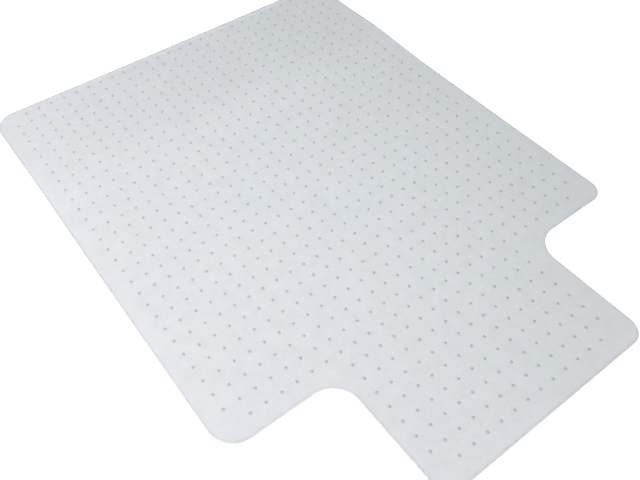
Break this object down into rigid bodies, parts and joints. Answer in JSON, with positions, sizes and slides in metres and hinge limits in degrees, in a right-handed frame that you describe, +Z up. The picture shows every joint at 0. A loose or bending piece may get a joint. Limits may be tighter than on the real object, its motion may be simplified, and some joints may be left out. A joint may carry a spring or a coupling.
{
  "type": "chair mat",
  "caption": "Clear vinyl carpet chair mat with a front lip, round corners and a bevelled top edge, standing on rows of small gripper studs.",
  "frame": {"origin": "middle of the mat's outline, on the floor plane that the stud tips stand on", "axes": "+Z up; -Y points along the lip, under the desk; +Y to the straight back edge; X runs across the width"},
  "size_m": [0.9144, 1.2192, 0.007],
  "materials": {
    "sheet_vinyl": "clear plasticised PVC, finely frosted on top, smooth underneath",
    "stud_vinyl": "clear plasticised PVC, as moulded"
  },
  "bodies": {
    "root": {"mat_sheet": "sheet_vinyl", "body_stud_row_01": "stud_vinyl", "body_stud_row_02": "stud_vinyl", "body_stud_row_03": "stud_vinyl", "body_stud_row_04": "stud_vinyl", "body_stud_row_05": "stud_vinyl", "body_stud_row_06": "stud_vinyl", "body_stud_row_07": "stud_vinyl", "body_stud_row_08": "stud_vinyl", "body_stud_row_09": "stud_vinyl", "body_stud_row_10": "stud_vinyl", "body_stud_row_11": "stud_vinyl", "body_stud_row_12": "stud_vinyl", "body_stud_row_13": "stud_vinyl", "body_stud_row_14": "stud_vinyl", "body_stud_row_15": "stud_vinyl", "body_stud_row_16": "stud_vinyl", "body_stud_row_17": "stud_vinyl", "body_stud_row_18": "stud_vinyl", "body_stud_row_19": "stud_vinyl", "body_stud_row_20": "stud_vinyl", "body_stud_row_21": "stud_vinyl", "body_stud_row_22": "stud_vinyl", "body_stud_row_23": "stud_vinyl", "body_stud_row_24": "stud_vinyl", "body_stud_row_25": "stud_vinyl", "body_stud_row_26": "stud_vinyl", "body_stud_row_27": "stud_vinyl", "body_stud_row_28": "stud_vinyl", "body_stud_row_29": "stud_vinyl", "body_stud_row_30": "stud_vinyl", "lip_stud_row_01": "stud_vinyl", "lip_stud_row_02": "stud_vinyl", "lip_stud_row_03": "stud_vinyl", "lip_stud_row_04": "stud_vinyl", "lip_stud_row_05": "stud_vinyl", "lip_stud_row_06": "stud_vinyl", "lip_stud_row_07": "stud_vinyl", "lip_stud_row_08": "stud_vinyl"}
  },
  "joints": []
}
